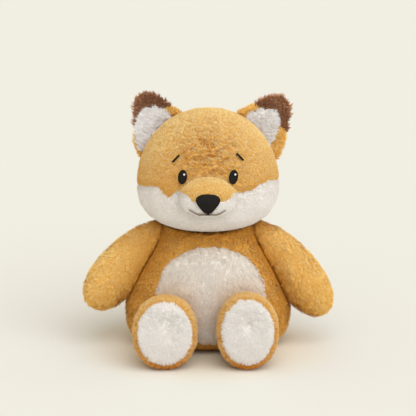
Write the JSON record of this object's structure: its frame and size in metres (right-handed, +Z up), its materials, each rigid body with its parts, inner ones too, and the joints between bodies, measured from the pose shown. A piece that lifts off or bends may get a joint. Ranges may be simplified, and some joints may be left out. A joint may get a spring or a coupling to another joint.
{
  "type": "plush fox",
  "caption": "Seated plush fox with a turning head, arms and legs that lift, folding ears, a wagging tail and a flat weighted seat.",
  "frame": {"origin": "middle of the flat seat under the torso, on the surface that the fox sits on", "axes": "+Z up, -Y the way the fox looks, +X to the viewer's right as they face the fox"},
  "size_m": [0.301, 0.3092, 0.3043],
  "materials": {
    "tan_plush": "short golden-tan pile",
    "white_plush": "short warm-white pile",
    "brown_plush": "short dark-brown pile",
    "nose_satin": "black woven satin",
    "black_thread": "satin-stitch embroidery",
    "white_thread": "satin-stitch embroidery",
    "stuffing": "polyester fibre fill",
    "pouch_cloth": "plain woven cotton full of pellets"
  },
  "bodies": {
    "torso": {"torso_cover": "tan_plush", "belly_panel": "white_plush", "torso_stuffing": "stuffing", "pellet_pouch": "pouch_cloth"},
    "head": {"head_crown": "tan_plush", "head_cheeks": "white_plush", "snout_top": "tan_plush", "snout_lower": "white_plush", "head_stuffing": "stuffing", "nose": "nose_satin", "mouth_stitch": "black_thread", "eye_right": "black_thread", "eye_left": "black_thread", "eye_glint_right": "white_thread", "eye_glint_left": "white_thread", "brow_right": "black_thread", "brow_left": "black_thread"},
    "right_ear": {"ear_back_right": "tan_plush", "ear_tip_right": "brown_plush", "ear_lining_right": "white_plush"},
    "left_ear": {"ear_back_left": "tan_plush", "ear_tip_left": "brown_plush", "ear_lining_left": "white_plush"},
    "right_arm": {"arm_cover_right": "tan_plush", "arm_stuffing_right": "stuffing"},
    "left_arm": {"arm_cover_left": "tan_plush", "arm_stuffing_left": "stuffing"},
    "right_leg": {"leg_cover_right": "tan_plush", "sole_pad_right": "white_plush", "leg_stuffing_right": "stuffing"},
    "left_leg": {"leg_cover_left": "tan_plush", "sole_pad_left": "white_plush", "leg_stuffing_left": "stuffing"},
    "tail": {"tail_cover": "tan_plush", "tail_tip": "white_plush", "tail_stuffing": "stuffing"}
  },
  "joints": [
    {"name": "head_turn", "type": "hinge", "parent": "torso", "child": "head", "pos_m": [0, -0.012, 0.1405], "axis": [0, 0, 1], "range_deg": [-25, 25], "stiffness_Nm_per_rad": 0.3},
    {"name": "right_arm_raise", "type": "hinge", "parent": "torso", "child": "right_arm", "pos_m": [-0.06, 0, 0.139], "axis": [0, 1, 0], "range_deg": [0, 35], "stiffness_Nm_per_rad": 0.15},
    {"name": "left_arm_raise", "type": "hinge", "parent": "torso", "child": "left_arm", "pos_m": [0.06, 0, 0.139], "axis": [0, -1, 0], "range_deg": [0, 35], "stiffness_Nm_per_rad": 0.15},
    {"name": "right_leg_raise", "type": "hinge", "parent": "torso", "child": "right_leg", "pos_m": [-0.045, -0.064, 0.078], "axis": [-1, 0, 0], "range_deg": [0, 30], "stiffness_Nm_per_rad": 0.15},
    {"name": "left_leg_raise", "type": "hinge", "parent": "torso", "child": "left_leg", "pos_m": [0.045, -0.064, 0.078], "axis": [-1, 0, 0], "range_deg": [0, 30], "stiffness_Nm_per_rad": 0.15},
    {"name": "right_ear_fold", "type": "hinge", "parent": "head", "child": "right_ear", "pos_m": [-0.05312, 0.005, 0.25323], "axis": [0.891, 0, 0.454], "range_deg": [-14, 14], "stiffness_Nm_per_rad": 0.05},
    {"name": "left_ear_fold", "type": "hinge", "parent": "head", "child": "left_ear", "pos_m": [0.05563, 0.005, 0.25077], "axis": [0.809, 0, -0.5878], "range_deg": [-14, 14], "stiffness_Nm_per_rad": 0.05},
    {"name": "tail_wag", "type": "hinge", "parent": "torso", "child": "tail", "pos_m": [0, 0.066, 0.037], "axis": [0, 0, 1], "range_deg": [-20, 20], "stiffness_Nm_per_rad": 0.1}
  ]
}
